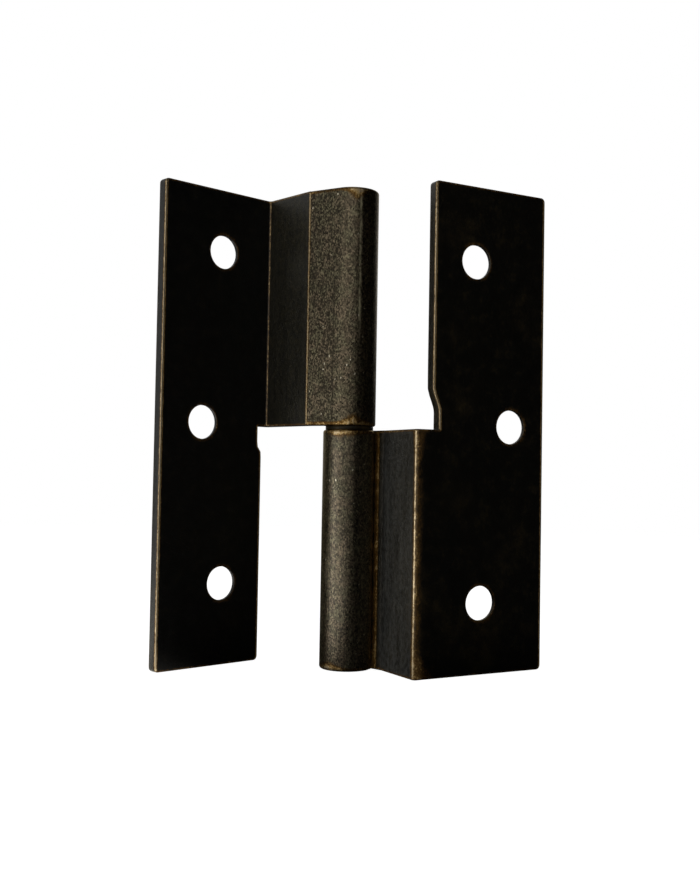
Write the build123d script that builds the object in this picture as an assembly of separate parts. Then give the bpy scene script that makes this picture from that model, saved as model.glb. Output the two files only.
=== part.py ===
from build123d import *
import os
from math import cos, radians, sin, tan

os.makedirs("parts", exist_ok=True)

# Sizes in millimetres, angles in degrees. The pin axis is +Z through the origin, z = 0 is the bottom edge.
# n is measured across the plate away from the pin axis, u along the web from the pin axis to the plate.

# Sheet leaves, shared by both
height = 64.0  # full height of a plate
sheet = 1.5  # thickness of the brass sheet
knuckle_r = 3.5  # outside radius of a rolled knuckle
bore_r = knuckle_r - sheet  # the knuckle is rolled round the pin
web_inner = 3.2  # pin axis to the web's inner face
web_outer = web_inner + sheet
crank_bend = 16.5  # slight bend between the web and the flat run into the knuckle
bend_inside_r = 0.4
bend_outside_r = bend_inside_r + sheet
fold_inside_r = 0.3  # square fold between web and plate
fold_outside_r = 0.45  # pressed up sharp on the outside
tail_angle = 47.0  # where the rolled tail stops, just short of the flat run
corner_r = 0.6  # plate corners
rim_break = 0.3  # broken edge round the knuckle's ends

# Split between the two knuckles
washer_thick = 0.5
lower_top = 31.75  # top end of the lower knuckle
upper_bottom = lower_top + washer_thick
upper_length = height - upper_bottom

# Plates: crank is the pin axis to the plate's far face
nest_gap = 0.15  # left between the two plates when the leaves are folded together
lower_crank = 11.8
upper_crank = lower_crank + nest_gap + sheet
lower_free_edge = 23.5
upper_free_edge = 22.2
lower_notch_edge = 5.6
upper_notch_edge = 5.45

# Relief cut in the notch beside the fold: depth, straight part, and start of the taper above the web
lower_relief = (1.0, 2.2, 5.6)
upper_relief = (0.65, 2.5, 3.7)

# Screw holes: one in the middle, set farther out, and a pair moved towards the leaf's own knuckle end.
# Across values run from the hole at the knuckle end to the one at the notch end.
hole_r = 2.25
hole_land = 0.5  # straight wall left at the wood face
hole_break = 0.1
sink_angle = 90.0  # sunk for the screw heads on the other face
hole_pitch = 44.7
middle_z = 32.45
pair_shift = 0.8
lower_hole_n = (13.4, 18.0, 12.15)
upper_hole_n = (12.55, 15.5, 11.95)

# Pin and washer
running_clearance = 0.05
pin_r = bore_r - running_clearance
pin_top = 62.8
pin_lead = 0.6
pin_foot_break = 0.3
washer_r = knuckle_r - rim_break  # as wide as the flat of the knuckle ends

# Pose in which the hinge is shown: opened this far from folded together
rest_open = 166.0

base = (Align.CENTER, Align.CENTER, Align.MIN)


def plan(n, u):
    return (n, -u)


def polar(radius, angle):
    return plan(radius * sin(radians(angle)), radius * cos(radians(angle)))


def run(radius, length):
    # point on the flat run, at the given distance from the pin axis and along the run from the tangent
    start = polar(radius, 90 + crank_bend)
    along = polar(length, crank_bend)
    return (start[0] + along[0], start[1] + along[1])


def leaf_plan(crank, free_edge):
    inner_run = (web_inner - bore_r * cos(radians(crank_bend))) / sin(radians(crank_bend))
    outer_run = (web_outer - knuckle_r * cos(radians(crank_bend))) / sin(radians(crank_bend))
    fold_out = plan(web_inner, crank)
    fold_in = plan(web_outer, crank - sheet)
    bend_in = run(bore_r, inner_run)
    bend_out = run(knuckle_r, outer_run)
    roll = 360 + tail_angle - (90 + crank_bend)
    edges = [
        Line(plan(free_edge, crank), fold_out),
        Line(fold_out, bend_in),
        Line(bend_in, polar(bore_r, 90 + crank_bend)),
        CenterArc((0, 0), bore_r, crank_bend, roll),
        Line(polar(bore_r, tail_angle), polar(knuckle_r, tail_angle)),
        CenterArc((0, 0), knuckle_r, crank_bend, roll),
        Line(polar(knuckle_r, 90 + crank_bend), bend_out),
        Line(bend_out, fold_in),
        Line(fold_in, plan(free_edge, crank - sheet)),
        Line(plan(free_edge, crank - sheet), plan(free_edge, crank)),
    ]
    outline = make_face(edges)
    rounds = [
        (fold_out, fold_outside_r),
        (fold_in, fold_inside_r),
        (bend_in, bend_inside_r),
        (bend_out, bend_outside_r),
    ]
    for corner, radius in rounds:
        vertex = outline.vertices().sort_by_distance((*corner, 0))[0]
        outline = fillet(vertex, radius)
    return outline


def screw_hole():
    # cutter standing on the sunk face and reaching through to the wood face
    sunk = sheet - hole_land
    cutter = Cylinder(hole_r, sheet, align=base)
    cutter += Cone(hole_r + sunk * tan(radians(sink_angle / 2)), hole_r, sunk, align=base)
    cutter += Pos(0, 0, sheet - hole_break) * Cone(hole_r, hole_r + hole_break, hole_break, align=base)
    return cutter


def leaf(crank, free_edge, notch_edge, length, relief, holes, sunk_far):
    # a leaf with its knuckle at the bottom, in the pose where the leaves are folded together
    depth, straight, taper = relief
    folded = extrude(leaf_plan(crank, free_edge), amount=length, dir=(0, 0, 1))
    rims = folded.edges().filter_by(GeomType.CIRCLE).filter_by(lambda e: abs(e.radius - knuckle_r) < rim_break)
    rims = rims.filter_by(lambda e: abs(e.center().Z) < rim_break or abs(e.center().Z - length) < rim_break)
    folded = chamfer(rims, rim_break)
    face = Plane(origin=(0, sheet - crank, 0), x_dir=(1, 0, 0), z_dir=(0, -1, 0))
    outline = Polyline(
        (notch_edge + depth, 0),
        (free_edge, 0),
        (free_edge, height),
        (notch_edge, height),
        (notch_edge, length + taper),
        (notch_edge + depth, length + straight),
        close=True,
    )
    plate = extrude(face * make_face(outline), amount=sheet)
    body = folded + plate
    for n, z in [(free_edge, 0), (free_edge, height), (notch_edge, height)]:
        corner = body.edges().filter_by(Axis.Y).sort_by_distance((n, sheet / 2 - crank, z))[0]
        body = fillet(corner, corner_r)
    turned = Pos(0, 0, sheet) * Rot(180, 0, 0) if sunk_far else Pos(0, 0, 0)
    for n, z in holes:
        body -= face * Pos(n, z, 0) * turned * screw_hole()
    return body


def hole_places(across, middle_height):
    # heights counted from the leaf's own knuckle end
    low = middle_height - pair_shift - hole_pitch / 2
    return list(zip(across, (low, middle_height, low + hole_pitch)))


lower_holes = hole_places(lower_hole_n, middle_z)
lower_leaf = leaf(lower_crank, lower_free_edge, lower_notch_edge, lower_top, lower_relief, lower_holes, False)
print("lower_leaf", round(lower_leaf.volume, 2), lower_leaf.is_valid)

upper_holes = hole_places(upper_hole_n, height - middle_z)
upper_leaf = leaf(upper_crank, upper_free_edge, upper_notch_edge, upper_length, upper_relief, upper_holes, True)
upper_leaf = mirror(upper_leaf, about=Plane.XY.offset(height / 2))
upper_leaf = Rot(0, 0, -rest_open) * upper_leaf
print("upper_leaf", round(upper_leaf.volume, 2), upper_leaf.is_valid)

pin_press = chamfer(Cylinder(bore_r, lower_top, align=base).edges().sort_by(Axis.Z)[0], pin_foot_break)
pin_free = Cylinder(pin_r, pin_top - lower_top, align=base)
pin_free = chamfer(pin_free.edges().sort_by(Axis.Z)[-1], pin_lead)
pin = pin_press + Pos(0, 0, lower_top) * pin_free
print("pin", round(pin.volume, 2), pin.is_valid)

washer = Cylinder(washer_r, washer_thick, align=base) - Cylinder(bore_r, washer_thick, align=base)
washer = Pos(0, 0, lower_top) * washer
print("washer", round(washer.volume, 2), washer.is_valid)

export_step(lower_leaf, "parts/lower_leaf.step")
export_step(upper_leaf, "parts/upper_leaf.step")
export_step(pin, "parts/pin.step")
export_step(washer, "parts/washer.step")
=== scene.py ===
import bpy
import numpy as np
from math import cos, pi, radians, sin
from mathutils import Matrix, Vector


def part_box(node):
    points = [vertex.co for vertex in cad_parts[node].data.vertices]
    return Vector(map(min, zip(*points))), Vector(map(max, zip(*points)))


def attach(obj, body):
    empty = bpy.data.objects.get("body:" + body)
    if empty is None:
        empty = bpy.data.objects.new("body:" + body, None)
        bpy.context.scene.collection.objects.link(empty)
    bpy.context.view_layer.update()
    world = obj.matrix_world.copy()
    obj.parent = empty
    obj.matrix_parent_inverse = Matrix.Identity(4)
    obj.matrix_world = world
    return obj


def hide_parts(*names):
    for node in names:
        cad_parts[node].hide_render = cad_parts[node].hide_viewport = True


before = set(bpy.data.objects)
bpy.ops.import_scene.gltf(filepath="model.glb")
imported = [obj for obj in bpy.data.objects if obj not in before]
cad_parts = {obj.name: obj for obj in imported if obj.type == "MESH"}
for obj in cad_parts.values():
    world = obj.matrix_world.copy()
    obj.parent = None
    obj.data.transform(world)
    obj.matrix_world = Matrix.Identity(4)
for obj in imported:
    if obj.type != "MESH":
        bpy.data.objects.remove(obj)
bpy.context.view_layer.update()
mm = 0.001

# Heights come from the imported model: plate height, and where each knuckle ends
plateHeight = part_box("lower_leaf")[1][2] / mm
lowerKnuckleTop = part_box("washer")[0][2] / mm
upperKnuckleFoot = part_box("washer")[1][2] / mm

# Both leaves are bent from the same brass sheet. Lengths in mm, angles in degrees. edgeLines are the
# grid lines kept close to each cut edge, gridClear the share of a step that filler lines keep from
# them. The steps are counts of stations along the plan. ridgeStation is counted from the plate's end,
# bendStation and seamStation from the web's. batches is how many lots of points are measured in turn.
brassSheet = dict(
    thick=1.5, webInner=3.2, knuckleRadius=3.5, crankBend=16.5, bendInside=0.4,
    foldInside=0.3, foldOutside=0.45, tailAngle=407.0, cornerRound=0.6,
    edgeRound=0.2, knuckleEndRound=0.35, easeWidth=0.9, reliefLead=3.0, reliefReach=2.6,
    gridStep=1.2, gridClear=0.45, edgeLines=(0.0, 0.2, 0.4, 0.6, 1.0, 1.6),
    wallThirds=(0.33, 0.67), mitreLeast=0.5, batches=32,
    edgeSteps=4, foldSteps=8, foldLead=3, webSteps=9, bendSteps=4, runSteps=26, rollSteps=108,
    ridgeStation=8, bendStation=1, seamStation=8)
rollAngles = np.linspace(
    90.0 + brassSheet["crankBend"], brassSheet["tailAngle"], brassSheet["rollSteps"] + 1)

# A screw hole as (radius, depth from the wood face): soft rim, short straight wall, then the sink for
# the head. On the blank it is a square of lines, with more lines around it.
screwHole = dict(
    holeHalf=2.3, reach=4.6, squareLines=13, outerLines=(3.0, 3.7, 4.6),
    rimToSink=((2.35, 0.0), (2.312, 0.008), (2.279, 0.029), (2.258, 0.062), (2.25, 0.1),
               (2.25, 0.46), (2.285, 0.53), (3.17, 1.42), (3.21, 1.455), (3.25, 1.48),
               (3.29, 1.495), (3.33, 1.5)))

# How far each edge is rubbed bright, and how far in mm the rubbing reaches on to the sheet
rubbedEdges = dict(
    freeEdge=(1.22, 0.19), notchEdge=(1.20, 0.17), plateEnds=(0.38, 0.30), webEnds=(0.50, 0.25),
    # The tail's rubbing is partly painted light: it is set lighter where the tail lies in shade
    knuckleEnds=(0.50, 0.34), tail=(0.86, 0.30), holes=(0.38, 0.30), ridge=(1.04, 0.155),
    # seamStrip is rubbing and partly painted light: it is set lighter where it lies in shade by the
    # knuckle
    ridgeHalo=(0.47, 0.80), bendRidge=(1.15, 0.075), seam=(0.57, 0.24), seamStrip=(0.60, 0.85),
    foldInside=(0.66, 0.30), foldHalo=(0.42, 0.60))

# Fine marks of wear, and painted light and shade. Pairs named Foot, Top and Lift are the height and
# width of a hump at an end of the web; pairs named Fade and Rise are where a change begins and ends, in
# mm or in stations from a mark. wallCorner and wallMiddle are the rubbing kept across a cut edge,
# wallRubbed the least on a knuckle's end. paleRest and paleAtFold are what is left of the pale grey,
# which is partly painted light: lighter toward the knuckle end and painted darker as shade near the
# fold. sootAndDarkening is the share of metal that darkens a whole plate.
wearMarks = dict(
    wallCorner=(0.92, 0.2), wallMiddle=0.1, wallRubbed=0.62,
    haloFoot=(1.9, 1.7), haloTop=(0.5, 1.6), haloLift=(0.35, 1.6), haloPast=0.5,
    ridgeFoot=(0.6, 3.0), ridgeTop=(0.9, 1.5),
    rollHighlightWide=2.0, rollHighlightFade=(15.0, 22.0), creaseShadeWide=0.7, creaseShadeFade=(7.0, 13.0),
    handledRise=(-1.5, 0.5), coarseAndShadedFade=(-2.0, 4.0), flatFade=(-1.0, 2.0), paleRise=(0.0, 4.0),
    paleRest=0.62, paleReach=7.0, paleAtFold=0.4,
    sootAndDarkening=0.3, lowDarkeningReach=7.0, wallDarkeningGain=1.7, wallDarkeningReach=14.0)

# Every point of a piece carries these values, 0 where a piece gives none: how far it is rubbed bright,
# thinned by handling, coarse in grain and painted darker as shade on the flat run, pale and partly
# painted light, a painted highlight line, a painted shade line, and how much metal darkens it
wearNames = ("rub", "handled", "coarseAndShaded", "pale", "paintedHighlight", "paintedCreaseShade", "plateDarkening")

# Tolerances in mm, and an across value that no point of a plate has
tiny = 1e-6
slack = 0.01
offPlate = -99.0


# 0 below low, 1 above high, and the cubic 3t^2 - 2t^3 between them
def ease(value, low, high):
    t = np.clip((value - low) / (high - low), 0.0, 1.0)
    return t * t * (3.0 - 2.0 * t)


# A bell-shaped hump: height times exp(-(distance / width)^2)
def hump(distance, height, width):
    return height * np.exp(-(distance / width) ** 2)


# Points at radius r and angle a round a centre: across = r sin a, along the web = r cos a
def around(centre, radius, angles):
    a = np.radians(angles)
    return np.stack([centre[0] + radius * np.sin(a), centre[1] + radius * np.cos(a)], axis=-1)


# Points spaced evenly along a straight line, its first end left out
def straight(start, end, count):
    t = np.linspace(0.0, 1.0, count + 1)[1:, None]
    return np.asarray(start) * (1.0 - t) + np.asarray(end) * t


# Vectors divided by their length
def unit(vectors):
    return vectors / np.linalg.norm(vectors, axis=1, keepdims=True)


# Grid lines: the fixed ones, and even filler lines wherever none of the fixed ones is near
def gridLines(low, high, fixed, step):
    fixed = np.unique(np.round(fixed, 4))
    filler = np.linspace(low, high, int((high - low) / step) + 1)
    clear = np.abs(filler[:, None] - fixed[None, :]).min(axis=1) > brassSheet["gridClear"] * step
    return np.unique(np.concatenate([fixed, filler[clear]]))


# Lines of a leaf's blank, across from the free edge to the fold, and up: close lines along each cut edge
# and a square of lines for each hole
def blankLines(leaf):
    s, half, length = brassSheet, screwHole["holeHalf"], leaf["webLength"]
    edge, outer = np.array(s["edgeLines"]), np.array(screwHole["outerLines"])
    square = np.concatenate([np.linspace(-half, half, screwHole["squareLines"]), -outer, outer])
    holes = np.array(leaf["holes"])
    foldStart = s["webInner"] + s["thick"] + s["foldInside"]
    fixedAcross = np.concatenate([[foldStart], leaf["freeEdge"] - edge, leaf["notchEdge"] + edge,
                                  (holes[:, :1] + square).ravel()])
    fixedUp = np.concatenate([edge, plateHeight - edge, length - edge[:-1], length + edge,
                              (holes[:, 1:] + square).ravel()])
    across = gridLines(foldStart, leaf["freeEdge"], fixedAcross, s["gridStep"])
    return across[::-1], gridLines(0.0, plateHeight, fixedUp, s["gridStep"])


# Plan of one leaf as two matched lines of stations, one for each face of the sheet: straight plate,
# square fold, web, slight bend, flat run, then an arc round the pin. far is the face that becomes the
# bore, near is the face that becomes the outside of the knuckle.
def sheetPlan(leaf, across):
    s = brassSheet
    webOuter = s["webInner"] + s["thick"]
    bore = s["knuckleRadius"] - s["thick"]
    crank = leaf["crank"]
    under = crank - s["thick"]
    foldEnd = under - s["foldInside"]
    plateFar = np.stack([across, np.full_like(across, crank)], axis=-1)
    plateNear = np.stack([across, np.full_like(across, under)], axis=-1)
    foldCentre = (s["webInner"] + s["foldOutside"], crank - s["foldOutside"])
    outer = around(foldCentre, s["foldOutside"], np.linspace(0.0, -90.0, s["foldSteps"] + 1))
    foldFar = np.concatenate([straight((across[-1], crank), outer[0], s["foldLead"]), outer[1:],
                              straight(outer[-1], (s["webInner"], foldEnd), s["foldLead"])])
    foldNear = around((webOuter + s["foldInside"], foldEnd), s["foldInside"],
                      np.linspace(0.0, -90.0, len(foldFar) + 1))[1:]
    lean = radians(s["crankBend"])
    pivotAcross = s["webInner"] - s["bendInside"]
    pivot = (pivotAcross, (cos(lean) * pivotAcross - (bore - s["bendInside"])) / sin(lean))
    bendAngles = np.linspace(90.0, 90.0 + s["crankBend"], s["bendSteps"] + 1)
    bendFar = around(pivot, s["bendInside"], bendAngles)
    bendNear = around(pivot, s["bendInside"] + s["thick"], bendAngles)
    webFar = straight(foldFar[-1], bendFar[0], s["webSteps"])
    webNear = straight(foldNear[-1], bendNear[0], s["webSteps"])
    rollFar = around((0.0, 0.0), bore, rollAngles)
    rollNear = around((0.0, 0.0), s["knuckleRadius"], rollAngles)
    runFar = straight(bendFar[-1], rollFar[0], s["runSteps"])
    runNear = straight(bendNear[-1], rollNear[0], s["runSteps"])
    far = np.concatenate([plateFar, foldFar, webFar, bendFar[1:], runFar, rollFar[1:]])
    near = np.concatenate([plateNear, foldNear, webNear, bendNear[1:], runNear, rollNear[1:]])
    plate = len(across)
    webEnd = plate + len(foldFar) + len(webFar)
    marks = dict(plate=plate, ridge=plate + s["ridgeStation"], bend=webEnd + s["bendStation"],
                 seam=webEnd + s["seamStation"], roll=len(far) - len(rollAngles))
    return far, near, marks


# The flat blank is a grid of (station, height). Three warps turn its straight lines into the cut
# outline: a hole pulls its square of lines onto a circle (largest offset divided by distance), a corner
# does the same for its quarter, and the relief pushes the notch edge sideways by a depth that tapers
# with height.
def warpBlank(leaf, across, up, holeRadius):
    s = brassSheet
    n, z = np.meshgrid(across, up, indexing="ij")
    dn, dz = np.zeros_like(n), np.zeros_like(z)
    reach, half = screwHole["reach"], screwHole["holeHalf"]
    for holeN, holeZ in leaf["holes"]:
        x, y = n - holeN, z - holeZ
        most = np.maximum(np.abs(x), np.abs(y))
        away = np.maximum(np.hypot(x, y), tiny)
        mix = np.clip((reach - most) / (reach - half), 0.0, 1.0)
        grow = mix * (holeRadius * most / (half * away) - 1.0)
        dn += np.where(most <= reach, x * grow, 0.0)
        dz += np.where(most <= reach, y * grow, 0.0)
    r = s["cornerRound"]
    corners = ((leaf["freeEdge"], 0.0, 1, -1), (leaf["freeEdge"], plateHeight, 1, 1),
               (leaf["notchEdge"], plateHeight, -1, 1))
    for cornerN, cornerZ, signN, signZ in corners:
        x = signN * (n - (cornerN - signN * r))
        y = signZ * (z - (cornerZ - signZ * r))
        inside = (x > 0) & (y > 0) & (x <= r + tiny) & (y <= r + tiny)
        shrink = np.maximum(x, y) / np.maximum(np.hypot(x, y), tiny) - 1.0
        dn += np.where(inside, signN * x * shrink, 0.0)
        dz += np.where(inside, signZ * y * shrink, 0.0)
    depth, flatPart, taperTop = leaf["relief"]
    above = z - leaf["webLength"]
    push = depth * (1.0 - ease(above, flatPart, taperTop)) * ease(above, -s["reliefLead"], 0.0)
    beside = n - leaf["notchEdge"]
    dn += push * np.clip(1.0 - beside / s["reliefReach"], 0.0, 1.0) * (beside >= -tiny)
    return dn, dz


# The rim: points on grid edges with one kept cell beside them, each with the point before and after it,
# run so that the sheet lies to the left
def cutRim(keep):
    columns, rows = keep.shape[0] + 1, keep.shape[1] + 1
    index = np.arange(columns * rows).reshape(columns, rows)
    padded = np.pad(keep, 1)
    below, above = padded[1:-1, :-1], padded[1:-1, 1:]
    left, right = padded[:-1, 1:-1], padded[1:, 1:-1]
    alongA, alongB, riseA, riseB = index[:-1, :], index[1:, :], index[:, :-1], index[:, 1:]
    foot, top, first, last = above & ~below, below & ~above, right & ~left, left & ~right
    rim = np.concatenate([alongA[foot], alongB[top], riseB[first], riseA[last]])
    end = np.concatenate([alongB[foot], alongA[top], riseA[first], riseB[last]])
    before = np.full(index.size, -1)
    before[end] = rim
    return index, rim, before[rim], end


# Rubbing of the rim: its strength, its reach on to the sheet and the power of its fall. An end of the
# knuckle has its own strength, with a bright patch that is a hump in the angle round the pin.
def rimWear(leaf, kind, station, rimUp, marks):
    names, which = np.unique(kind, return_inverse=True)
    strength, reach = np.array([rubbedEdges[name] for name in names])[which].T
    ends, atKnuckle = leaf["wornEnds"], kind == "knuckleEnds"
    atOuterEnd = (rimUp < 0.5 * leaf["webLength"])[:, None]
    patchAt, patchWide, rest, most, farther = np.where(atOuterEnd, ends["outer"], ends["inner"]).T
    turned = rollAngles[np.clip(station - marks["roll"], 0, brassSheet["rollSteps"])]
    patch = np.where(atKnuckle, hump(turned - patchAt, 1.0, patchWide), 0.0)
    strength = np.where(atKnuckle, rest + (most - rest) * patch, strength)
    return strength, reach + farther * patch, np.where(atKnuckle, 2.0, 1.0)


# Wear of the two faces by station and height, with painted light and shade among it. A rubbed line
# falls off as exp(-distance / width) from its mark, the ridge's halo is a hump on the plate's side, the
# plate's darkening falls off as exp(-height / reach), and the rest eases in or out at a mark of the
# plan.
# The knuckle and its flat run are handled outside, so their patina is thin; inside it stays brown.
def sheetWear(leaf, up, marks, runLength):
    w, length, rows = wearMarks, leaf["webLength"], len(up)
    station = np.arange(len(runLength))
    high, run = np.tile(up, len(runLength)), np.repeat(runLength, rows)

    def line(name, mark, wider=1.0):
        strength, width = rubbedEdges[name]
        return strength * np.exp(-np.abs(run - runLength[marks[mark]]) / (width * wider))

    def rise(mark, begin, finish):
        return np.repeat(ease(station, marks[mark] + begin, marks[mark] + finish), rows)

    haloStrength, haloWidth = rubbedEdges["ridgeHalo"]
    beyond = (runLength[marks["ridge"]] - run) / haloWidth
    beyond /= 1.0 + hump(high, *w["haloFoot"]) + hump(high - length, *w["haloTop"])
    halo = hump(beyond, haloStrength, 1.0) * (beyond >= 0.0) * (high < length + w["haloPast"])
    halo *= 1.0 + hump(high, *w["haloLift"])
    ridgeWide = 1.0 + hump(high - length, *w["ridgeTop"]) + hump(high, *w["ridgeFoot"])
    # Beside the seam: rubbing, and partly painted light in the shaded seam
    seamStrip = line("seamStrip", "seam") * (run >= runLength[marks["seam"]])
    farLines = [line("ridge", "ridge", ridgeWide), halo, line("seam", "seam"), seamStrip]
    nearLines = [line("bendRidge", "bend"), line("foldInside", "ridge"), line("foldHalo", "ridge")]

    turned = rollAngles[np.clip(station - marks["roll"], 0, brassSheet["rollSteps"])]
    # Painted highlight: a thin bright line down the roll at one angle, fading out 15 to 22 mm from the
    # knuckle end
    lineAt, lineStrength = leaf["rollHighlightLine"]
    paintedHighlight = np.repeat(hump(turned - lineAt, lineStrength, w["rollHighlightWide"]), rows)
    # Painted shade: a thin dark line down the flat run just before the roll, as a crease would cast
    creaseShadeAt, creaseStrength = leaf["creaseShadeLine"]
    paintedCreaseShade = hump(station - marks["roll"] - creaseShadeAt, creaseStrength, w["creaseShadeWide"])

    # Pale grey on the webs, partly patina and partly painted light: lighter toward the knuckle end that
    # heights start from, and on the near face painted darker toward the fold as shade
    pale = rise("ridge", *w["paleRise"]) - rise("bend", 0.0, marks["seam"] - marks["bend"])
    pale *= w["paleRest"] + (1.0 - w["paleRest"]) * np.exp(-high / w["paleReach"])
    towardsBend = np.clip((station - marks["ridge"]) / (marks["bend"] - marks["ridge"]), 0.0, 1.0)
    nearPale = pale * np.repeat(w["paleAtFold"] + (1.0 - w["paleAtFold"]) * towardsBend, rows)
    onFlat = 1.0 - rise("plate", *w["flatFade"])
    fromFoot = plateHeight - high if leaf["endUp"] else high
    return dict(
        farRub=np.max(farLines, axis=0), nearRub=np.max(nearLines, axis=0),
        paintedHighlight=paintedHighlight * (1.0 - ease(high, *w["rollHighlightFade"])),
        paintedCreaseShade=np.repeat(paintedCreaseShade, rows) * ease(high, *w["creaseShadeFade"]),
        # The flat parts before the roll: coarser grain, and painted shade where the flat run's metal
        # shows
        handled=rise("bend", *w["handledRise"]), coarseAndShaded=1.0 - rise("roll", *w["coarseAndShadedFade"]),
        farPale=leaf["webPale"][0] * pale, nearPale=leaf["webPale"][1] * nearPale,
        # Plates darker toward their lower end: more metal there, which blackens them
        plateDarkening=(w["sootAndDarkening"] + leaf["lowDarkening"] * np.exp(-fromFoot / w["lowDarkeningReach"])) * onFlat,
        wallDarkening=w["wallDarkeningGain"] * leaf["lowDarkening"] * np.exp(-fromFoot / w["wallDarkeningReach"]) * onFlat)


# One leaf: the warped blank is laid on both faces of the bent plan, and every cut edge gets a wall whose
# two corners are quarter rounds, or a screw hole's own profile. Rubbing falls off as
# exp(-(distance / reach)^power) from the nearest cut edge.
def bendLeaf(leaf):
    s, w, holeLook = brassSheet, wearMarks, np.array(screwHole["rimToSink"])
    notch, length, half = leaf["notchEdge"], leaf["webLength"], screwHole["holeHalf"]
    holes = np.array(leaf["holes"])
    across, up = blankLines(leaf)
    far, near, marks = sheetPlan(leaf, across)
    columns, rows, plate = len(far), len(up), marks["plate"]
    count = columns * rows
    stationSteps = np.linalg.norm(np.diff(0.5 * (far + near), axis=0), axis=1)
    runLength = np.concatenate([[0.0], np.cumsum(stationSteps)])

    # Cells that the blank keeps: not in a hole, and not in the notch above the web
    midN = np.full(columns - 1, offPlate)
    midN[:plate - 1] = 0.5 * (across[1:] + across[:-1])
    midZ = 0.5 * (up[1:] + up[:-1])
    keep = (midN[:, None] > notch) | (midZ[None, :] < length)
    for holeN, holeZ in leaf["holes"]:
        keep &= ~((np.abs(midN[:, None] - holeN) < half) & (np.abs(midZ[None, :] - holeZ) < half))

    # The rim of the blank, and what each of its points belongs to
    index, rim, before, after = cutRim(keep)
    station, rimUp = rim // rows, up[rim % rows]
    onPlate = station < plate
    rimAcross = np.where(onPlate, across[np.minimum(station, plate - 1)], offPlate)
    holeGap = np.maximum(np.abs(rimAcross[:, None] - holes[:, 0]),
                         np.abs(rimUp[:, None] - holes[:, 1]))
    atHole = holeGap.min(axis=1) < half + slack
    inNotch = onPlate & (np.abs(rimAcross - notch) < slack) & (rimUp > length)
    kind = np.where(station < marks["bend"], "webEnds", "knuckleEnds")
    kind = np.where(onPlate, "plateEnds", kind)
    kind = np.where(station == 0, "freeEdge", kind)
    kind = np.where(inNotch, "notchEdge", kind)
    kind = np.where(station == columns - 1, "tail", kind)
    kind = np.where(atHole, "holes", kind)
    strength, reach, power = rimWear(leaf, kind, station, rimUp, marks)
    farRound = np.where(atHole, 0.0, s["edgeRound"])
    nearRound = np.where(kind == "knuckleEnds", s["knuckleEndRound"], farRound)

    # Both faces in space and on the flat pattern
    def lay(line, holeRadius):
        dn, dz = np.zeros((columns, rows)), np.zeros((columns, rows))
        dn[:plate], dz[:plate] = warpBlank(leaf, across, up, holeRadius)
        depth = np.repeat(-line[:, 1:], rows, axis=1)
        points = np.stack([line[:, :1] + dn, depth, up[None, :] + dz], axis=-1)
        pattern = np.stack([runLength[:, None] - dn, up[None, :] + dz], axis=-1)
        return points.reshape(-1, 3), pattern.reshape(-1, 2)

    woodRadius, sunkRadius = holeLook[0, 0], holeLook[-1, 0]
    farFace, farPattern = lay(far, sunkRadius if leaf["sunkFar"] else woodRadius)
    nearFace, nearPattern = lay(near, woodRadius if leaf["sunkFar"] else sunkRadius)

    # Outward direction at the rim, mitred so that both neighbouring edges move by the same amount
    through = (nearFace - farFace)[rim]
    through[atHole] = (0.0, 1.0, 0.0)
    through = unit(through)
    centre = 0.5 * (farFace + nearFace)
    outIn = unit(np.cross(centre[rim] - centre[before], through))
    outOut = unit(np.cross(centre[after] - centre[rim], through))
    mitre = 1.0 + (outIn * outOut).sum(axis=1, keepdims=True)
    out = (outIn + outOut) / np.maximum(mitre, s["mitreLeast"])

    # A face draws back from the rim by its rounding, easing off over easeWidth
    def drawBack(face, pattern, rounding):
        apart, nearest = np.empty(count), np.empty(count, int)
        for part in np.array_split(np.arange(count), s["batches"]):
            gap = np.linalg.norm(pattern[part][:, None, :] - pattern[rim][None, :, :], axis=2)
            nearest[part], apart[part] = gap.argmin(axis=1), gap.min(axis=1)
        drawn = rounding[nearest] * np.clip(1.0 - apart / s["easeWidth"], 0.0, 1.0)
        shift = out[nearest] * drawn[:, None]
        shift[rim] = out * rounding[:, None]
        rub = strength[nearest] * np.exp(-(apart / reach[nearest]) ** power[nearest])
        return face - shift, rub

    farSkin, farRub = drawBack(farFace, farPattern, farRound)
    nearSkin, nearRub = drawBack(nearFace, nearPattern, nearRound)

    # The wall: rings from the far face round to the near face
    theta = np.linspace(0.0, 0.5 * pi, s["edgeSteps"] + 1)[:, None, None]
    e, f = farRound[:, None], nearRound[:, None]
    farRings = farFace[rim] + e * (through - out + out * np.sin(theta) - through * np.cos(theta))
    nearRings = nearFace[rim] + f * (out * np.cos(theta) + through * np.sin(theta) - through - out)
    thirds = np.array(s["wallThirds"])[:, None, None]
    between = farRings[-1] + (nearRings[0] - farRings[-1]) * thirds
    rings = np.concatenate([farRings[1:], between, nearRings[:-1]])

    # In a hole the rings follow its profile, out along a spoke and in from the wood face
    look = holeLook[1:-1][::-1] if leaf["sunkFar"] else holeLook[1:-1]
    woodFace, inward = (-near[0, 1], -1.0) if leaf["sunkFar"] else (-far[0, 1], 1.0)
    holeRim, ownHole = farFace[rim[atHole]], holes[holeGap.argmin(axis=1)[atHole]]
    axis = np.stack([ownHole[:, 0], holeRim[:, 1], ownHole[:, 1]], axis=-1)
    spoke = unit(holeRim - axis)
    axis[:, 1] = woodFace
    sunk = np.array([0.0, inward, 0.0]) * look[:, 1:, None]
    rings[:, atHole] = axis + spoke * look[:, :1, None] + sunk

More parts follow.
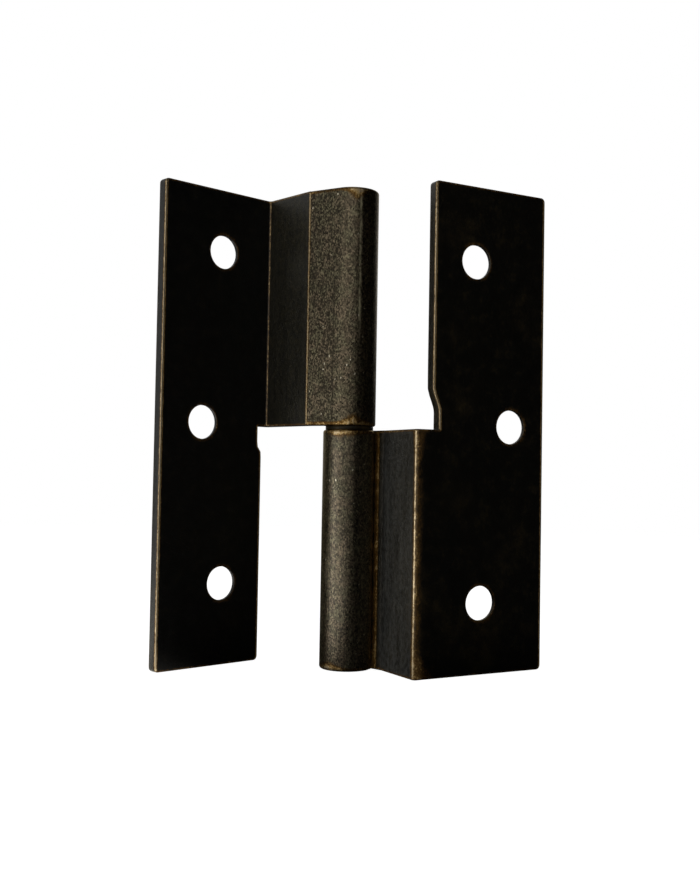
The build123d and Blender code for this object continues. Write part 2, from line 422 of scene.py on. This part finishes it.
    # Rubbing across the wall: strong at its corners, weak between them, but not on the knuckle's ends
    corner = np.linspace(*w["wallCorner"], s["edgeSteps"])
    kept = np.concatenate([corner, [w["wallMiddle"]] * 2, corner[::-1]])[:, None]
    rubbedOver = w["wallRubbed"] + (1.0 - w["wallRubbed"]) * kept
    ringRub = np.where(np.isin(kind, ("knuckleEnds", "tail")), rubbedOver, kept) * strength

    # Values of all points: the far face, the near face, then the rings of the wall
    def cover(onFar, onNear, onWall):
        return np.concatenate([onFar, onNear, np.tile(onWall[rim], len(rings))])

    wear, bare = sheetWear(leaf, up, marks, runLength), np.zeros(count)
    farRub, nearRub = np.maximum(farRub, wear["farRub"]), np.maximum(nearRub, wear["nearRub"])
    # The tail's wall stays out of the handled metal, so its rubbed colour shows as diffuse: partly
    # painted light in its shade
    wallHandled = wear["handled"].copy()
    wallHandled[rim[kind == "tail"]] = 0.0
    values = dict(
        rub=np.concatenate([farRub, nearRub, ringRub.ravel()]),
        handled=cover(bare, wear["handled"], wallHandled),
        coarseAndShaded=cover(wear["coarseAndShaded"], wear["coarseAndShaded"], wear["coarseAndShaded"]),
        pale=cover(wear["farPale"], wear["nearPale"], bare),
        paintedHighlight=cover(bare, wear["paintedHighlight"], bare),
        paintedCreaseShade=cover(bare, wear["paintedCreaseShade"], bare),
        plateDarkening=cover(wear["plateDarkening"], wear["plateDarkening"], wear["wallDarkening"]))

    # Faces: far side, near side, and the wall between the rings
    cell = np.stack([index[:-1, :-1], index[:-1, 1:], index[1:, 1:], index[1:, :-1]], axis=-1)[keep]
    ringIndex = 2 * count + np.arange(len(rings) * len(rim)).reshape(len(rings), len(rim))
    ladder = np.concatenate([rim[None, :], ringIndex, (rim + count)[None, :]])
    onRim = np.full(count, -1)
    onRim[rim] = np.arange(len(rim))
    onward = ladder[:, onRim[after]]
    wall = np.stack([ladder[:-1], onward[:-1], onward[1:], ladder[1:]], axis=-1).reshape(-1, 4)
    quads = np.concatenate([cell, cell[:, ::-1] + count, wall])
    points = np.concatenate([farSkin, nearSkin, rings.reshape(-1, 3)])

    # Only the points in use stay; the upper leaf stands on its head and is swung round the pin
    used, quads = np.unique(quads, return_inverse=True)
    quads = quads.reshape(-1, 4)
    x, y, z = points[used].T
    if leaf["endUp"]:
        z, quads = plateHeight - z, quads[:, ::-1]
    c, t = cos(radians(leaf["turn"])), sin(radians(leaf["turn"]))
    points = np.stack([c * x - t * y, t * x + c * y, z], axis=-1)
    return points, quads, {key: value[used] for key, value in values.items()}


# A profile of (radius, height) points carried round the pin axis: x = r cos a, y = r sin a
def turnProfile(profile, steps):
    angle = np.linspace(0.0, 2.0 * pi, steps, endpoint=False)
    points = np.stack([profile[:, :1] * np.cos(angle), profile[:, :1] * np.sin(angle),
                       np.repeat(profile[:, 1:], steps, axis=1)], axis=-1)
    index = np.arange(len(profile) * steps).reshape(len(profile), steps)
    onward = np.roll(index, -1, axis=1)
    quads = np.stack([index[:-1], onward[:-1], onward[1:], index[1:]], axis=-1).reshape(-1, 4)
    return points.reshape(-1, 3), quads, index


# A smooth mesh in metres with its wear values. It stands for the CAD node and rides on that node's body.
def makePiece(name, node, body, material, points, faces, values):
    mesh = bpy.data.meshes.new(name)
    mesh.from_pydata((points * mm).tolist(), [], faces)
    for key in wearNames:
        layer = mesh.attributes.new(key, "FLOAT", "POINT")
        layer.data.foreach_set("value", np.full(len(points), values.get(key, 0.0), np.float32))
    mesh.polygons.foreach_set("use_smooth", np.ones(len(mesh.polygons), bool))
    mesh.materials.append(material)
    mesh.validate()
    mesh.update()
    piece = bpy.data.objects.new(name, mesh)
    bpy.context.scene.collection.objects.link(piece)
    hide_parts(node)
    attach(piece, body)
    print("made", name, len(mesh.vertices), "points", len(mesh.polygons), "faces")


# A node with its settings; each input takes a link or a plain value
def addNode(tree, kind, inputs=None, **settings):
    made = tree.nodes.new(kind)
    for key, value in settings.items():
        setattr(made, key, value)
    for key, value in (inputs or {}).items():
        if isinstance(value, bpy.types.NodeSocket):
            tree.links.new(value, made.inputs[key])
        else:
            made.inputs[key].default_value = value
    return made


# One step of arithmetic on up to three values
def maths(tree, operation, a, b=0.0, c=0.0):
    return addNode(tree, "ShaderNodeMath", {0: a, 1: b, 2: c}, operation=operation).outputs[0]


# Product of two values
def times(tree, a, b):
    return maths(tree, "MULTIPLY", a, b)


# 1 less a value
def less(tree, value):
    return maths(tree, "SUBTRACT", 1.0, value)


# Weighted sum: each value times its weight, added to a start value
def total(tree, values, weights, start=0.0):
    for value, weight in zip(values, weights):
        start = maths(tree, "MULTIPLY_ADD", value, weight, start)
    return start


# Colour a where the factor is 0, colour b where it is 1
def blend(tree, factor, a, b):
    return addNode(tree, "ShaderNodeMix", {0: factor, 6: a, 7: b}, data_type="RGBA").outputs[2]


# A value eased from low..high to toLow..toHigh by the cubic 3t^2 - 2t^3
def spread(tree, value, low, high, toLow=0.0, toHigh=1.0):
    limits = {"Value": value, "From Min": low, "From Max": high, "To Min": toLow, "To Max": toHigh}
    return addNode(tree, "ShaderNodeMapRange", limits, interpolation_type="SMOOTHSTEP").outputs[0]


# Cloudy noise in 0..1
def noise(tree, place, scale, detail, rough):
    look = {"Vector": place, "Scale": scale, "Detail": detail, "Roughness": rough}
    return addNode(tree, "ShaderNodeTexNoise", look).outputs["Fac"]


# Random cells: the distance to the cell's middle, and three random values for each cell
def randomCells(tree, place, scale):
    cells = addNode(tree, "ShaderNodeTexVoronoi", {"Vector": place, "Scale": scale}).outputs
    return cells["Distance"], addNode(tree, "ShaderNodeSeparateColor", {"Color": cells["Color"]}).outputs


# Dark antique bronze: near-black patina with brown patches; thinner on the handled knuckle, where a fine
# metallic grain shows; mottled brown beside rubbed edges, and brass on them. Noise is scale, detail and
# roughness. Mix gives the weights of a sum, At the limits of a change, and Share how much of it shows.
antiqueBronze = dict(
    sootAndDarkening=(0.0012, 0.0012, 0.0010, 1), deep=(0.0024, 0.0025, 0.0022, 1),
    brown=(0.0240, 0.0160, 0.0050, 1), grey=(0.0510, 0.0500, 0.0430, 1),
    speck=(0.11, 0.10, 0.085, 1), thin=(0.080, 0.036, 0.004, 1), gilt=(0.40, 0.262, 0.095, 1),
    brass=(0.50, 0.395, 0.245, 1), grainDark=(0.024, 0.0195, 0.0125, 1),
    grainGreen=(0.265, 0.237, 0.140, 1), grainBrown=(0.31, 0.238, 0.153, 1),
    glint=(0.44, 0.395, 0.29, 1), glossTint=(1.0, 0.96, 0.86, 1),
    grainStretch=(1.0, 1.0, 0.7), streakStretch=(1.0, 1.0, 0.12),
    grainNoise=(5000.0, 3.0, 0.62), fineNoise=(2200.0, 3.0, 0.6), streakNoise=(900.0, 3.0, 0.6),
    mottleNoise=(620.0, 4.0, 0.65), blotchNoise=(95.0, 4.0, 0.55),
    fleckScale=6000.0, speckScale=210.0, glintLeast=0.9982, speckLeast=0.75, speckAt=(0.05, 0.02),
    raggedMix=(0.9, 0.8, 0.24), raggedAt=(0.0, 0.4), brassAt=(0.68, 1.0), giltAt=(0.48, 0.76),
    haloMix=(0.4, 0.6), haloAt=(0.18, 0.5), thinShare=0.85, giltShare=0.8,
    brownShare=0.0, brownAt=(0.62, 0.82), sootAt=(0.7, 1.35),
    stainMix=(0.6, 0.4), stainAt=(0.5, 0.66), stainShare=(0.2, 2.5),
    cloudMix=(0.7, 0.3), paleAt=(0.36, 0.64, 0.2, 1.0), paintedHighlightAt=(0.38, 0.58, 0.15, 1.0),
    sparkleMix=(0.55, 0.27, 0.18), sparkleAt=(0.26, 0.8), toneAt=(0.36, 0.64),
    creaseShadeAt=(0.35, 0.55, 0.3, 1.0), runContrast=1.8, runShine=0.69,
    giltMetal=0.25, patinaRough=0.4, rollRough=0.33, runRough=0.54, giltRough=0.55, brassSmooth=0.22,
    roughMix=(0.36, 0.30), bumpMix=(1.0, 0.35), bumpStrength=0.7, bumpDepth=0.00006,
    gloss=0.45, coat=0.0, coatRough=0.3)


# Rubbing plus ragged noise picks brown, gilt or brass; where none shows, the handled share blends patina
# into metal grain, whose brightness is the square of a weighted sum of noises. Metal and roughness
# follow the same values.
def bronzeMaterial(name, look):
    material = bpy.data.materials.new(name)
    material.use_nodes = True
    tree = material.node_tree
    rub, handled, coarseAndShaded, pale, paintedHighlight, paintedCreaseShade, plateDarkening = [
        addNode(tree, "ShaderNodeAttribute", attribute_name=key).outputs["Fac"] for key in wearNames]
    place = addNode(tree, "ShaderNodeTexCoord").outputs["Object"]
    drawn, rolled = [
        addNode(tree, "ShaderNodeMapping", {"Vector": place, "Scale": look[key]}).outputs[0]
        for key in ("grainStretch", "streakStretch")]
    grain = noise(tree, drawn, *look["grainNoise"])
    fine = noise(tree, drawn, *look["fineNoise"])
    streak = noise(tree, rolled, *look["streakNoise"])
    mottle = noise(tree, place, *look["mottleNoise"])
    blotch = noise(tree, place, *look["blotchNoise"])
    fleck, _, fleckChance = randomCells(tree, drawn, look["fleckScale"])[1]
    speckGap, (_, speckChance, _) = randomCells(tree, place, look["speckScale"])

    # Where the patina is rubbed: ragged noise is centred on 0 and fades out where nothing rubs
    ragged = total(tree, (mottle, grain, fleck), look["raggedMix"], -0.5 * sum(look["raggedMix"]))
    worn = maths(tree, "MULTIPLY_ADD", ragged, spread(tree, rub, *look["raggedAt"]), rub)
    bright = spread(tree, worn, *look["brassAt"])
    gilt = spread(tree, worn, *look["giltAt"])
    halo = spread(tree, total(tree, (rub, worn), look["haloMix"]), *look["haloAt"])

    # Patina: soot, brown patches and stains, cloudy grey on the web that is partly painted light, and a
    # few specks
    share = look["brownShare"]
    patches = spread(tree, blotch, *[limit - share for limit in look["brownAt"]])
    patina = blend(tree, patches, look["deep"], look["brown"])
    sootless = spread(tree, maths(tree, "ADD", mottle, grain), *look["sootAt"])
    patina = blend(tree, sootless, look["sootAndDarkening"], patina)
    leastStain, stainGain = look["stainShare"]
    stain = total(tree, (mottle, fine), look["stainMix"])
    stain = spread(tree, stain, *look["stainAt"], 0.0, leastStain + stainGain * share)
    patina = blend(tree, stain, patina, look["brown"])
    cloud = total(tree, (fine, streak), look["cloudMix"])
    # The web's cloudy grey is partly painted light
    pale = times(tree, pale, spread(tree, cloud, *look["paleAt"]))
    patina = blend(tree, pale, patina, look["grey"])
    specked = maths(tree, "GREATER_THAN", speckChance, look["speckLeast"])
    specked = times(tree, spread(tree, speckGap, *look["speckAt"]), specked)
    patina = blend(tree, specked, patina, look["speck"])

    # Metal grain: coarser on the flat run and painted darker there as shade, a painted shade line at the
    # crease, and rare painted glints
    sparkle = total(tree, (grain, fleck, streak), look["sparkleMix"], -0.5)
    contrast = spread(tree, coarseAndShaded, 0.0, 1.0, 1.0, look["runContrast"])
    sparkle = maths(tree, "MULTIPLY_ADD", sparkle, contrast, 0.5)
    least, most = look["sparkleAt"]
    limits = {"Value": sparkle, "From Min": least, "From Max": most}
    lift = addNode(tree, "ShaderNodeMapRange", limits).outputs[0]
    shine = maths(tree, "POWER", lift, 2.0)
    # Painted shade: on the flat run the grain keeps only runShine of its brightness
    shine = times(tree, shine, spread(tree, coarseAndShaded, 0.0, 1.0, 1.0, look["runShine"]))
    # Painted shade: the grain is darkened along the crease line
    paintedCreaseShade = times(tree, paintedCreaseShade, spread(tree, streak, *look["creaseShadeAt"]))
    shine = times(tree, shine, less(tree, paintedCreaseShade))
    tone = blend(tree, spread(tree, mottle, *look["toneAt"]), look["grainGreen"], look["grainBrown"])
    metalGrain = blend(tree, shine, look["grainDark"], tone)
    # Painted glints: rare flecks of a bright colour in the grain
    glinting = maths(tree, "GREATER_THAN", fleckChance, look["glintLeast"])
    metalGrain = blend(tree, glinting, metalGrain, look["glint"])

    # Colour, metal and roughness
    # Painted highlight: along the thin line down the roll the colour is a lit olive instead of metal
    paintedHighlight = times(tree, paintedHighlight, spread(tree, cloud, *look["paintedHighlightAt"]))
    colour = blend(tree, handled, patina, metalGrain)
    colour = blend(tree, paintedHighlight, colour, look["grainGreen"])
    colour = blend(tree, times(tree, halo, look["thinShare"]), colour, look["thin"])
    colour = blend(tree, times(tree, gilt, look["giltShare"]), colour, look["gilt"])
    colour = blend(tree, bright, colour, look["brass"])
    metal = maths(tree, "MAXIMUM", bright, times(tree, gilt, look["giltMetal"]))
    metal = maths(tree, "MAXIMUM", metal, times(tree, handled, less(tree, paintedHighlight)))
    # More metal where the plate is darkened, which blackens it
    metal = maths(tree, "MAXIMUM", metal, times(tree, plateDarkening, less(tree, gilt)))
    dull = spread(tree, handled, 0.0, 1.0, look["patinaRough"], look["rollRough"])
    onRun = times(tree, handled, coarseAndShaded)
    weights = (1.0, look["runRough"] - look["rollRough"], *look["roughMix"])
    dull = total(tree, (dull, onRun, grain, streak), weights, -0.5 * sum(look["roughMix"]))
    dull = maths(tree, "MAXIMUM", dull, times(tree, gilt, look["giltRough"]))
    dull = maths(tree, "SUBTRACT", dull, times(tree, bright, look["brassSmooth"]))
    bump = addNode(tree, "ShaderNodeBump", {
        "Height": total(tree, (grain, fleck), look["bumpMix"]),
        "Strength": look["bumpStrength"], "Distance": look["bumpDepth"]}).outputs[0]

    shader = tree.nodes["Principled BSDF"]
    linked = {"Base Color": colour, "Metallic": metal, "Roughness": dull, "Normal": bump}
    for key, value in linked.items():
        tree.links.new(value, shader.inputs[key])
    shader.inputs["Specular IOR Level"].default_value = look["gloss"]
    shader.inputs["Specular Tint"].default_value = look["glossTint"]
    shader.inputs["Coat Weight"].default_value = look["coat"]
    shader.inputs["Coat Roughness"].default_value = look["coatRough"]
    return material


# Leaves. crank is the pin axis to the plate's far face; holes are (across, up) from the leaf's own
# knuckle end; relief is its depth, straight part and end of taper. finish is what the leaf's bronze has
# of its own. wornEnds gives, for each end of the knuckle, the angle and width of its bright patch, how
# worn the rim and the patch are, and how much farther the patch reaches. rollHighlightLine is the angle
# and strength of a thin painted highlight line down the roll, creaseShadeLine the station from the
# roll's start and strength of a thin painted shade line down the flat run. webPale is how pale the web's
# far and near face are, a paleness that is partly painted light, lowDarkening how much blacker the
# plate's lower end is.
lowerLeaf = dict(
    name="lowerLeaf", node="lower_leaf", body="frame_side", turn=0.0, endUp=False, sunkFar=False,
    crank=11.8, freeEdge=23.5, notchEdge=5.6, webLength=lowerKnuckleTop, relief=(1.0, 2.2, 5.6),
    holes=((13.4, 9.3), (18.0, 32.45), (12.15, 54.0)),
    # The lower leaf's web grey is lighter and cooler: partly patina, partly painted light
    finish=dict(brownShare=0.1, coat=0.26, grey=(0.0570, 0.0590, 0.0570, 1),
                glossTint=(1.0, 0.88, 0.62, 1)),
    wornEnds=dict(outer=(290.0, 28.0, 0.50, 0.82, 0.9), inner=(318.0, 42.0, 0.54, 0.70, 0.8)),
    rollHighlightLine=(154.8, 0.0), creaseShadeLine=(-4.0, 0.0), webPale=(0.95, 0.6), lowDarkening=0.6)
upperLeaf = dict(
    name="upperLeaf", node="upper_leaf", body="door_side", turn=-166.0, endUp=True, sunkFar=True,
    crank=13.45, freeEdge=22.2, notchEdge=5.45, webLength=plateHeight - upperKnuckleFoot,
    relief=(0.65, 2.5, 3.7), holes=((12.55, 8.4), (15.5, 31.55), (11.95, 53.1)),
    # The upper leaf's web grey is darker and browner: partly patina, partly painted shade
    finish=dict(brownShare=0.0, coat=0.06, grey=(0.0360, 0.0310, 0.0140, 1),
                glossTint=(1.0, 0.96, 0.86, 1)),
    wornEnds=dict(outer=(147.0, 24.0, 0.42, 0.92, 1.2), inner=(147.0, 25.0, 0.58, 0.75, 1.35)),
    rollHighlightLine=(154.8, 1.0), creaseShadeLine=(-4.0, 0.8), webPale=(0.95, 0.62), lowDarkening=0.55)

for leaf in (lowerLeaf, upperLeaf):
    points, quads, values = bendLeaf(leaf)
    leafBronze = bronzeMaterial(leaf["name"] + "Bronze", dict(antiqueBronze, **leaf["finish"]))
    makePiece(leaf["name"], leaf["node"], leaf["body"], leafBronze, points, quads.tolist(), values)

# Pin: turned rod, pressed into the lower knuckle, free above it. core closes its ends; leadSteps are the
# (step in from the free radius, share of the lead left) that round its top.
pinRod = dict(
    pressRadius=2.0, freeRadius=1.95, lead=0.6, leadSteps=((0.12, 0.45), (0.34, 0.12)), footBreak=0.3,
    footSoft=0.3, footFlat=1.2, topFlat=0.7, shoulder=0.1, core=0.0001, handled=0.4, coat=0.1, steps=64,
    top=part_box("pin")[1][2] / mm, foot=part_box("pin")[0][2] / mm)


# The pin's profile as (radius, height, rubbing), turned round the axis and closed by a face at each end
def makePin(pin):
    foot, top, broken, lead = pin["foot"], pin["top"], pin["footBreak"], pin["lead"]
    press, free, soft = pin["pressRadius"], pin["freeRadius"], pin["footSoft"] * pin["footBreak"]
    (firstIn, firstLeft), (nextIn, nextLeft) = pin["leadSteps"]
    profile = np.array([
        (pin["core"], foot, 0.3), (pin["footFlat"], foot, 0.35), (press - broken, foot, 0.8),
        (press - soft, foot + soft, 0.9), (press, foot + broken, 0.7),
        (press, lowerKnuckleTop - pin["shoulder"], 0.2), (free, lowerKnuckleTop, 0.3),
        (free, top - lead, 0.4), (free - firstIn, top - firstLeft * lead, 0.7),
        (free - nextIn, top - nextLeft * lead, 0.8), (free - lead, top, 0.7),
        (pin["topFlat"], top, 0.4), (pin["core"], top, 0.35)])
    points, quads, index = turnProfile(profile[:, :2], pin["steps"])
    faces = quads.tolist() + [index[0][::-1].tolist(), index[-1].tolist()]
    values = dict(rub=np.repeat(profile[:, 2], pin["steps"]), handled=pin["handled"])
    pinBronze = bronzeMaterial("pinBronze", dict(antiqueBronze, coat=pin["coat"]))
    makePiece("hingePin", "pin", "frame_side", pinBronze, points, faces, values)


makePin(pinRod)

# Washer: flat ring with softened edges; turn is the share of soft at which an edge's round is half done
splitWasher = dict(inside=2.0, outside=3.2, soft=0.1, turn=0.3, brownShare=0.45, gloss=0.12, steps=72)


# The washer's profile as (radius, height, rubbing), turned round the axis and closed along its bore
def makeWasher(ring):
    foot, top, soft = lowerKnuckleTop, upperKnuckleFoot, ring["soft"]
    inside, outside, half = ring["inside"], ring["outside"], ring["turn"] * ring["soft"]
    profile = np.array([
        (inside, foot, 0.0), (outside - soft, foot, 0.1), (outside - half, foot + half, 0.2),
        (outside, foot + soft, 0.1), (outside, top - soft, 0.1), (outside - half, top - half, 0.2),
        (outside - soft, top, 0.1), (inside, top, 0.0)])
    points, quads, index = turnProfile(profile[:, :2], ring["steps"])
    onward = np.roll(index, -1, axis=1)
    bore = np.stack([index[-1], onward[-1], onward[0], index[0]], axis=-1)
    finish = dict(antiqueBronze, brownShare=ring["brownShare"], gloss=ring["gloss"])
    makePiece("splitWasher", "washer", "loose_washer", bronzeMaterial("washerBronze", finish), points,
              np.concatenate([quads, bore]).tolist(), dict(rub=np.repeat(profile[:, 2], ring["steps"])))


makeWasher(splitWasher)

# Camera, fitted to the view: place in mm, turn about Z, tilt up and roll in degrees, focal length in
# pixels of a 700 x 869 image, sensor in mm, nearest distance in metres
viewpoint = dict(place=(-72.576, -128.955, 25.857), yaw=-29.41, tilt=2.06, roll=1.0, focal=1099.8,
                 tall=869, sensor=36.0, nearest=0.005)


# The camera looks ahead = (-sin yaw cos tilt, cos yaw cos tilt, sin tilt); roll turns right and top
# about it. The lens is focal times sensor over image height.
def makeCamera(view):
    yaw, tilt, roll = radians(view["yaw"]), radians(view["tilt"]), radians(view["roll"])
    ahead = Vector((-sin(yaw) * cos(tilt), cos(yaw) * cos(tilt), sin(tilt)))
    right = Vector((cos(yaw), sin(yaw), 0.0))
    top = right.cross(ahead)
    right, top = right * cos(roll) + top * sin(roll), top * cos(roll) - right * sin(roll)
    lens = bpy.data.cameras.new("view")
    lens.sensor_width = view["sensor"]
    lens.lens = view["focal"] * view["sensor"] / view["tall"]
    lens.clip_start = view["nearest"]
    camera = bpy.data.objects.new("view", lens)
    place = Vector(view["place"]) * mm
    camera.matrix_world = Matrix(((right.x, top.x, -ahead.x, place.x),
                                  (right.y, top.y, -ahead.y, place.y),
                                  (right.z, top.z, -ahead.z, place.z), (0, 0, 0, 1)))
    bpy.context.scene.collection.objects.link(camera)
    bpy.context.scene.camera = camera
    print("camera placed")


makeCamera(viewpoint)

# Soft boxes: bearing and height in degrees as seen from the hinge, distance and size in metres, radiance
# where white is 1. All of them point at aim.
aim = Vector((0.0, 0.0, 0.03))
softBoxes = (
    dict(name="leftSoftBox", bearing=174.0, height=-7.2, distance=0.115, wide=0.07, tall=0.035,
         glow=2.45),
    dict(name="leftWall", bearing=200.0, height=14.0, distance=0.35, wide=0.28, tall=0.2, glow=0.84),
    dict(name="frontSoftBox", bearing=239.0, height=20.0, distance=0.45, wide=0.26, tall=0.22,
         glow=1.45),
    dict(name="backSoftBox", bearing=38.0, height=24.0, distance=0.5, wide=0.3, tall=0.3, glow=0.6))


# Power of a box is its radiance times pi times its area
def makeSoftBox(box):
    a, b = radians(box["bearing"]), radians(box["height"])
    way = Vector((cos(a) * cos(b), sin(a) * cos(b), sin(b)))
    lamp = bpy.data.lights.new(box["name"], "AREA")
    lamp.shape = "RECTANGLE"
    lamp.size, lamp.size_y = box["wide"], box["tall"]
    lamp.energy = box["glow"] * pi * box["wide"] * box["tall"]
    stand = bpy.data.objects.new(box["name"], lamp)
    stand.location = aim + way * box["distance"]
    stand.rotation_euler = way.to_track_quat("Z", "Y").to_euler()
    stand.visible_camera = False
    bpy.context.scene.collection.objects.link(stand)
    print("hung", box["name"])


for box in softBoxes:
    makeSoftBox(box)


# One vector operation on two vectors, as a value
def vectorMaths(tree, operation, a, b=(0.0, 0.0, 0.0)):
    return addNode(tree, "ShaderNodeVectorMath", {0: a, 1: b}, operation=operation).outputs["Value"]


# White light of the given strength, from a surface or from the world
def whiteLight(tree, kind, strength):
    return addNode(tree, kind, {"Color": (1, 1, 1, 1), "Strength": strength}).outputs[0]


# Shader a where the factor is 0, shader b where it is 1
def blendShaders(tree, factor, a, b):
    return addNode(tree, "ShaderNodeMixShader", {0: factor, 1: a, 2: b}).outputs[0]


# Pale floor: white to the camera, with the hinge's soft shadow near it; distances in metres from the
# pin. What the metal mirrors of it is dim, with a pool of light before the left soft box.
paleFloor = dict(
    half=4.0, colour=(0.86, 0.86, 0.85, 1), seenColour=(0.8, 0.8, 0.8, 1), glow=0.87,
    shadowAt=(0.1, 0.4), pool=(-0.085, -0.01, 0.0), poolAt=(0.05, 0.1), poolWay=(-0.98, 0.2, 0.0),
    poolSideAt=(0.015, 0.03), shade=0.02, mirrored=2.4)


# Seen by the camera: glow plus diffuse, easing to plain white with distance. Mirrored: a pool that eases
# out from its middle and towards the hinge. For all other light: plain diffuse.
def makeFloor(floor):
    d = floor["half"]
    mesh = bpy.data.meshes.new("paleFloor")
    mesh.from_pydata([(-d, -d, 0), (d, -d, 0), (d, d, 0), (-d, d, 0)], [], [(0, 1, 2, 3)])
    material = bpy.data.materials.new("paleFloor")
    material.use_nodes = True
    tree = material.node_tree
    tree.nodes.remove(tree.nodes["Principled BSDF"])
    path = addNode(tree, "ShaderNodeLightPath").outputs
    place = addNode(tree, "ShaderNodeTexCoord").outputs["Object"]
    fromPool = vectorMaths(tree, "DISTANCE", place, floor["pool"])
    side = vectorMaths(tree, "DOT_PRODUCT", place, floor["poolWay"])
    pool = times(tree, spread(tree, fromPool, *floor["poolAt"], 1.0, 0.0),
                 spread(tree, side, *floor["poolSideAt"]))
    pool = maths(tree, "MULTIPLY_ADD", pool, floor["mirrored"] - floor["shade"], floor["shade"])
    mirrored = whiteLight(tree, "ShaderNodeEmission", pool)
    diffuse = addNode(tree, "ShaderNodeBsdfDiffuse", {"Color": floor["colour"]}).outputs[0]
    plain = blendShaders(tree, path["Is Glossy Ray"], diffuse, mirrored)
    lit = whiteLight(tree, "ShaderNodeEmission", floor["glow"])
    shadow = addNode(tree, "ShaderNodeBsdfDiffuse", {"Color": floor["seenColour"]}).outputs[0]
    shaded = addNode(tree, "ShaderNodeAddShader", {0: lit, 1: shadow}).outputs[0]
    away = spread(tree, vectorMaths(tree, "LENGTH", place), *floor["shadowAt"])
    faded = blendShaders(tree, away, shaded, whiteLight(tree, "ShaderNodeEmission", 1.0))
    seen = maths(tree, "MAXIMUM", path["Is Camera Ray"], path["Is Transmission Ray"])
    mixed = blendShaders(tree, seen, plain, faded)
    tree.links.new(mixed, tree.nodes["Material Output"].inputs["Surface"])
    mesh.materials.append(material)
    ground = bpy.data.objects.new("paleFloor", mesh)
    bpy.context.scene.collection.objects.link(ground)
    print("floor laid")


makeFloor(paleFloor)

# World: white behind the hinge, for the camera and for what the metal mirrors, falling off to a dim room
# on the far side from it
studio = dict(whiteWay=(-0.643, 0.766, 0.0), whiteAt=(-0.35, 0.5), dim=0.01, white=0.5, fill=0.25)


# What the metal mirrors eases from dim to white with the cosine between its direction and whiteWay; the
# camera sees white, and all other light is an even fill
def makeWorld(room):
    world = bpy.data.worlds.new("studio")
    bpy.context.scene.world = world
    world.use_nodes = True
    tree = world.node_tree
    path = addNode(tree, "ShaderNodeLightPath").outputs
    way = addNode(tree, "ShaderNodeTexCoord").outputs["Generated"]
    facing = vectorMaths(tree, "DOT_PRODUCT", way, room["whiteWay"])
    mirrored = spread(tree, facing, *room["whiteAt"], room["dim"], room["white"])
    fill, sheen, white = [
        whiteLight(tree, "ShaderNodeBackground", glow) for glow in (room["fill"], mirrored, 1.0)]
    unseen = blendShaders(tree, path["Is Glossy Ray"], fill, sheen)
    seen = maths(tree, "MAXIMUM", path["Is Camera Ray"], path["Is Transmission Ray"])
    output = next(node for node in tree.nodes if node.type == "OUTPUT_WORLD")
    tree.links.new(blendShaders(tree, seen, unseen, white), output.inputs["Surface"])
    print("world lit")


makeWorld(studio)

bpy.context.scene.view_settings.view_transform = "Standard"
